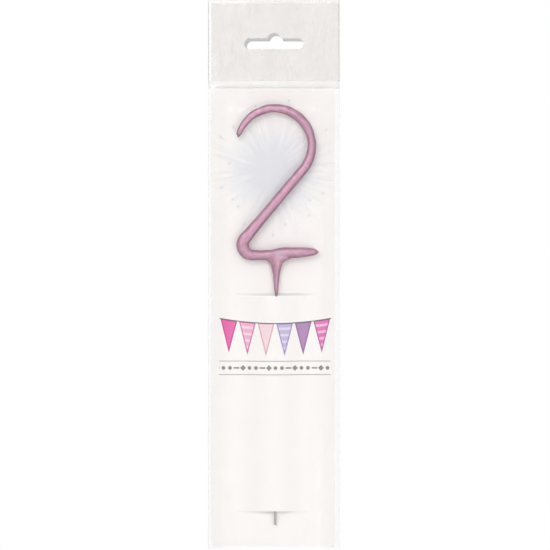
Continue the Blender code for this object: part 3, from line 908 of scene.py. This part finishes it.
folds = {
    # folds that fan down from the seal: height, pace across the film and how it wanders, and the
    # depths in which they set in and die out
    "fan": 0.30, "fanPace": 0.62, "fanWander": 1.4, "wanderPace": 0.21, "fanStart": 6, "fanFade": 14,
    # ripples along the sides and over the middle: their waves, how far below the seal they set in, and
    # how far from the middle the sides begin
    "stretch": 0.7, "sideFrom": (17, 25),
    "sideWaves": ((0.55, 17, 9, 31), (0.275, 6, 12, 32)), "sideDown": (4, 20),
    "middleWaves": ((0.14, 30, 8, 33),), "middleDown": (6, 22),
}


def puckers(x, z):
    # folds that fan down from the seal and die out, and slack ripples along the sides
    f = folds
    down = bag["sealZ"] - z
    fan = np.sin(x * f["fanPace"] + f["fanWander"] * np.sin(x * f["wanderPace"]))
    fan = fan * np.exp(-np.maximum(down, 0) / f["fanFade"]) * smoothStep(down, 0, f["fanStart"])
    side = smoothStep(np.abs(x), *f["sideFrom"]) * smoothStep(down, *f["sideDown"])
    points = np.stack((f["stretch"] * x, z), axis=-1)
    middle = smoothStep(down, *f["middleDown"]) * (1 - side)
    ripples = waves(points, f["sideWaves"]) * side + waves(points, f["middleWaves"]) * middle
    return fan * f["fan"] + ripples


def slotCutter(shift=(0, 0, 0)):
    # the hang slot's outline, half discs joined by straight sides with a round bump in the upper one,
    # carried through all layers, and shifted to leave the strip of liner that carries the painted
    # shadow in the slot
    b = bag
    end = b["slotHeight"] / 2
    endX = b["slotWidth"] / 2 - end
    endZ = -b["bumpRise"] - end
    lift = math.asin((b["bumpRadius"] - b["bumpRise"]) / b["bumpRadius"])
    arcs = []
    for centre, radius, start, stop in (
        ((-endX, endZ), end, 1.5 * np.pi, 0.5 * np.pi),
        ((0, -b["bumpRadius"]), b["bumpRadius"], np.pi - lift, lift),
        ((endX, endZ), end, 0.5 * np.pi, -0.5 * np.pi),
    ):
        angles = np.linspace(start, stop, b["arcPoints"])
        arcs.append(np.column_stack((
            centre[0] + radius * np.cos(angles), centre[1] + radius * np.sin(angles)
        )))
    outline = np.vstack(arcs)
    count = len(outline)
    near = np.column_stack((outline[:, 0], np.full(count, -b["cutterHalf"]), outline[:, 1])) + shift
    far = near + (0, 2 * b["cutterHalf"], 0)
    caps = [list(range(count)), list(range(2 * count - 1, count - 1, -1))]
    faces = gridFaces(2, count, True).tolist() + caps
    cutter = newPiece("slotCutter", np.vstack((near, far)), faces, [])
    turnOutwards(cutter)
    return cutter


def filmSheet(name, x, y, z, material, cutters):
    # a film from a grid of points, with its thickness, and with the hang slot cut out
    points = np.stack((x, y, z), axis=-1).reshape(-1, 3)
    piece = newPiece(name, points, gridFaces(*x.shape, False)[:, ::-1].tolist(), [material])
    addModifier(piece, "SOLIDIFY", thickness=bag["film"] * mm, offset=0, use_even_offset=True)
    applied(piece)
    joined(piece, cutters, "DIFFERENCE")
    piece.data.shade_smooth()
    piece.data.set_sharp_from_angle(angle=math.radians(bag["sharpAngle"]))
    return piece


filmFinish = {
    # colour, veil, how far streaks vary the veil, gloss, and how thick the seal is on it
    "front": ((0.80, 0.79, 0.785), 0.018, 0.02, 0.8, 0.29),
    "back": ((0.80, 0.79, 0.785), 0.018, 0.02, 0.8, 0.0),
    "liner": ((0.755, 0.710, 0.680), 0.39, 0.26, 0.2, 0.0),
    "roughness": 0.14, "index": 1.45, "leastVeil": 0.004,
    # noise scales of streaks and patches, and of crinkles, whose crests show as thin lines
    "streakScales": (0.34, 0.34, 0.055), "patchScales": (0.16, 0.16, 0.11), "patchShare": 0.8,
    "crinkleScales": (0.8, 0.8, 0.45), "crestPace": 14, "crestVeil": 0.012,
    # bumps, of which only tautShare is left where the film is taut: above slackDown under the seal,
    # and within slackOut of the middle
    "crinkleBump": (0.5, 0.25), "streakBump": (0.4, 0.8),
    "tautShare": 0.25, "slackDown": (6, 5), "slackOut": (17, 8),
    # the welded edges at both sides: colour, width, and veil, which is thicker up the header's left,
    # and how softly the header and its left half end
    "weld": (0.47, 0.475, 0.48), "weldWidth": 0.55, "weldSoft": 0.2, "weldVeil": 0.08,
    "thickWeldVeil": 0.12, "headerSoft": 1, "lowerWeldShare": 0.5,
    # the cloudy seal between liner and card and the line along it, from how far above the card's top,
    # and the rim above the liner
    "sealUp": 0.3, "sealSoft": 0.3, "sealVeil": 0.75, "sealPatches": 0.3,
    "lineUp": 0.7, "lineHalf": (0.3, 0.25), "lineVeil": 0.5, "rimSoft": 0.2, "rimVeil": 0.8,
    # painted shadow inside the hang slot: a grey strip of liner along its upper and left edges
    "slotShadow": (0.46, 0.45, 0.44), "slotShadowVeil": 0.55, "slotShadowSoft": 0.05,
}


def slotDepth(x, z):
    # how far a place lies inside the hang slot's outline: of the straight slot or of the bump
    b = bag
    end = b["slotHeight"] / 2
    beyond = (abs(x) - (b["slotWidth"] / 2 - end)).most(0)
    up = z + (b["bumpRise"] + end)
    slot = end - (beyond * beyond + up * up) ** 0.5
    over = z + b["bumpRadius"]
    return slot.most(b["bumpRadius"] - (x * x + over * over) ** 0.5)


def sealVeil(z, patches):
    # how thickly the seal, its line and the rim veil the film, and where they lie
    f = filmFinish
    within = z.below(bag["linerBottom"], f["sealSoft"]) * z.above(card["top"] + f["sealUp"], f["sealSoft"])
    line = z.near(card["top"] + f["lineUp"], *f["lineHalf"])
    rim = z.above(bag["linerTop"], f["rimSoft"])
    cloudy = within * (f["sealVeil"] + patches * f["sealPatches"] + line * f["lineVeil"])
    return cloudy + rim * f["rimVeil"], within.most(rim)


def filmLook(name, kind):
    # clear film: mostly see-through, with a faint veil that thickens in streaks, seams and creases,
    # and a mirror share that follows the angle, on the side that faces out of the sheet
    f = filmFinish
    colour, plainVeil, streaky, gloss, seal = f[kind]
    look = newLook(name)
    point = look.place()
    x, z = look.part(point, "X"), look.part(point, "Z")
    streaks = look.noise(point, f["streakScales"], detail=3, roughness=0.55)
    patches = look.noise(point, f["patchScales"])
    crinkle = look.noise(point, f["crinkleScales"], detail=3, roughness=0.6)
    crests = (1 - abs(crinkle - 0.5) * f["crestPace"]).most(0) ** 2
    weld = abs(x).above(bag["halfWidth"] - f["weldWidth"], f["weldSoft"])
    header = z.above(bag["sealZ"], f["headerSoft"])
    edge = weld * (f["weldVeil"] + header * x.below(0, f["headerSoft"]) * f["thickWeldVeil"])
    uneven = (streaks - 0.5 + (patches - 0.5) * f["patchShare"]) * streaky
    veil = plainVeil + uneven + crests * f["crestVeil"] + edge
    welded = weld * (header * (1 - f["lowerWeldShare"]) + f["lowerWeldShare"])
    tone = look.blend(welded, colour, f["weld"])
    if seal:
        cloudy, sealed = sealVeil(z, patches)
        veil = veil + cloudy * seal
        tone = look.blend(sealed, tone, f["liner"][0])
    if kind == "liner":
        across, _, down = bag["slotShadowShift"]
        # painted shadow: a grey strip of liner left inside the slot's upper and left edges
        slotShadow = slotDepth(x, z).above(0, f["slotShadowSoft"])
        covered = 1 - slotDepth(x - across, z - down).above(0, f["slotShadowSoft"])
        veil = look.add("Mix", None, {0: slotShadow * covered, 2: veil, 3: f["slotShadowVeil"]})
        tone = look.blend(slotShadow, tone, f["slotShadow"])
    slack = (bag["sealZ"] - z).above(*f["slackDown"]) * abs(x).above(*f["slackOut"])
    loose = slack * (1 - f["tautShare"]) + f["tautShare"]
    relief = look.bump(streaks * loose, *f["streakBump"])
    relief = look.bump(crinkle * loose, *f["crinkleBump"], relief)
    solid = look.principled(Base_Color=tone, Roughness=f["roughness"], Normal=relief)
    haze = look.mixed(veil.most(f["leastVeil"]), look.add("BsdfTransparent"), solid)
    facing = look.add("Fresnel", None, {"IOR": f["index"], "Normal": relief})
    outer = 1 - look.add("NewGeometry", output="Backfacing")
    values = {"Color": (1.0, 1.0, 1.0), "Roughness": f["roughness"], "Normal": relief}
    mirror = look.add("BsdfGlossy", None, values)
    return look.shown(look.mixed(facing * outer * gloss, haze, mirror))


def buildBag():
    b = bag
    columns = b["halfWidth"] * np.sin(np.linspace(-np.pi / 2, np.pi / 2, b["columns"] + 1))
    fine = np.arange(b["top"], b["sealZ"] - b["tentLength"] - b["fineBelow"], -b["headerPitch"])
    coarse = np.arange(fine[-1] - b["bagPitch"], b["bottom"] + b["leastRow"], -b["bagPitch"])
    x, z = np.meshgrid(columns, np.concatenate((fine, coarse, [b["bottom"]])))
    wave = headerWave(x, z)
    share = tentShare(x, z)
    flat = b["frontY"] + (b["seamY"] - b["frontY"]) * seam(x, z)
    y = flat + wave + (b["depthY"] - b["frontY"]) * share - np.abs(puckers(x, z)) * share ** 0.5
    front = filmSheet("frontFilm", x, y, z, filmLook("clearFrontFilm", "front"), [slotCutter()])
    sag = np.abs(waves(np.stack((x, z), axis=-1), b["backWaves"]))
    y = b["backY"] + wave + sag * smoothStep(b["sealZ"] - z, *b["backFade"])
    back = filmSheet("backFilm", x, y, z, filmLook("clearBackFilm", "back"), [slotCutter()])
    linerX = np.linspace(b["linerLeft"], b["linerRight"], b["linerColumns"] + 1)
    linerZ = np.linspace(b["linerTop"], b["linerBottom"], b["linerRows"] + 1)
    x, z = np.meshgrid(linerX, linerZ)
    # the liner's hole leaves out a strip along the slot's upper and left edges, for the painted shadow
    hole = joined(slotCutter(), [slotCutter(b["slotShadowShift"])], "INTERSECT")
    milky = filmLook("milkyLiner", "liner")
    liner = filmSheet("headerLiner", x, headerWave(x, z), z, milky, [hole])
    front.visible_shadow = False
    back.visible_shadow = False
    for piece, node, finish in (
        (front, "bag_front_film", "clear_film"), (back, "bag_back_film", "clear_film"),
        (liner, "header_liner", "liner_film"),
    ):
        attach(piece, "bag")
        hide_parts(node)
        print(piece.name, "faces:", len(piece.data.polygons))


buildBag()
print("bag done")


# Studio

studio = {
    "frameWidth": 235.2, "frameX": 0.43, "frameZ": -103.5, "cameraDistance": 1200, "sensor": 36.0,
    "clipStart": 50, "clipEnd": 50000,
    # how much of the floor's light is its own where the camera sees it, and where it fades to white
    "floorZ": -900, "floorHalf": 3000, "floorGlow": 0.62, "floorFade": 2000,
    "floorRings": 12, "floorSides": 64, "floorMiddleShare": 0.001,
    "floorDark": (0.86, 0.86, 0.86), "floorLight": (0.90, 0.90, 0.90), "floorScale": 0.02,
    "floorRoughness": 0.7,
    # soft light all round, brightest from domeAim: from domeLeast to domeMost with the cosine to it,
    # raised to domeFocus
    "domeAim": (-0.03, -0.985, 0.17), "domeFocus": 3, "domeLeast": 0.35, "domeMost": 1.375,
    "domeTint": (0.985, 0.99, 1.0),
    # place in millimetres, side in millimetres, watts, colour
    "lamps": {
        "keyLamp": ((-330, -1090, 390), 520, 2.9, (1.0, 0.99, 0.98)),
        "fillLamp": ((430, -1060, -570), 440, 2.1, (1.0, 0.99, 0.985)),
        "backLamp": ((380, 1100, 420), 800, 9.0, (1.0, 1.0, 1.0)),
    },
    "clearBounces": 32,
}


def aimed(thing, place, target):
    # puts it at place with its -Z axis towards target
    thing.location = Vector(place) * mm
    thing.rotation_mode = "QUATERNION"
    thing.rotation_quaternion = (Vector(place) - Vector(target)).to_track_quat("Z", "Y")


def buildCamera():
    s = studio
    data = bpy.data.cameras.new("camera")
    data.sensor_width = s["sensor"]
    data.lens = s["sensor"] * (s["cameraDistance"] + card["y"]) / s["frameWidth"]
    data.clip_start = s["clipStart"] * mm
    data.clip_end = s["clipEnd"] * mm
    camera = linked("camera", data)
    place = (s["frameX"], -s["cameraDistance"], s["frameZ"])
    aimed(camera, place, (s["frameX"], 0, s["frameZ"]))
    bpy.context.scene.camera = camera


def buildLamps():
    target = (0, 0, studio["frameZ"])
    for name, (place, side, power, colour) in studio["lamps"].items():
        data = bpy.data.lights.new(name, "AREA")
        data.shape = "SQUARE"
        data.size = side * mm
        data.energy = power
        data.color = colour
        lamp = linked(name, data)
        lamp.visible_camera = False
        aimed(lamp, place, target)


def buildFloor():
    # a wide pale disc: rings of radius half x share, all at the floor's height. Where the camera or
    # clear film sees it, it fades to white towards its rim, and from below it is clear.
    s = studio
    radii = s["floorHalf"] * np.linspace(s["floorMiddleShare"], 1, s["floorRings"])[:, None]
    angles = np.linspace(0, 2 * np.pi, s["floorSides"], endpoint=False)
    x, y = radii * np.cos(angles), radii * np.sin(angles)
    points = np.stack((x, y, np.full_like(x, s["floorZ"])), axis=-1).reshape(-1, 3)
    faces = gridFaces(s["floorRings"], s["floorSides"], True)[:, ::-1].tolist()
    faces.append(list(range(s["floorSides"])))
    look = newLook("paleFloor")
    point = look.place()
    tone = look.blend(look.noise(point, s["floorScale"]), s["floorDark"], s["floorLight"])
    matt = look.principled(Base_Color=tone, Roughness=s["floorRoughness"])
    glow = look.add("Emission", None, {"Color": (1.0, 1.0, 1.0), "Strength": 1.0})
    out = look.distance(point, (0, 0, s["floorZ"]))
    fade = out.above(s["floorFade"], s["floorHalf"] - s["floorFade"])
    top = look.mixed(look.seen() * (fade * (1 - s["floorGlow"]) + s["floorGlow"]), matt, glow)
    below = look.add("NewGeometry", output="Backfacing")
    material = look.shown(look.mixed(below, top, look.add("BsdfTransparent")))
    newPiece("floor", points, faces, [material])


def buildWorld():
    # white where the camera or clear film looks past the object; a soft dome of light elsewhere
    s = studio
    world = bpy.data.worlds.new("studioAir")
    bpy.context.scene.world = world
    look = Look(world)
    way = look.add("TexCoord", output="Generated")
    values = {0: way, 1: s["domeAim"]}
    towards = look.add("VectorMath", {"operation": "DOT_PRODUCT"}, values, "Value")
    dim, bright, white = (
        look.add("Background", None, {"Color": colour, "Strength": strength})
        for colour, strength in (
            (s["domeTint"], s["domeLeast"]), (s["domeTint"], s["domeMost"]), ((1.0, 1.0, 1.0), 1.0)
        )
    )
    dome = look.mixed(towards.most(0) ** s["domeFocus"], dim, bright)
    look.shown(look.mixed(look.seen(), dome, white), "OutputWorld")


buildCamera()
buildLamps()
buildFloor()
buildWorld()
scene = bpy.context.scene
scene.view_settings.view_transform = "Standard"
scene.cycles.transparent_max_bounces = studio["clearBounces"]
print("studio done")
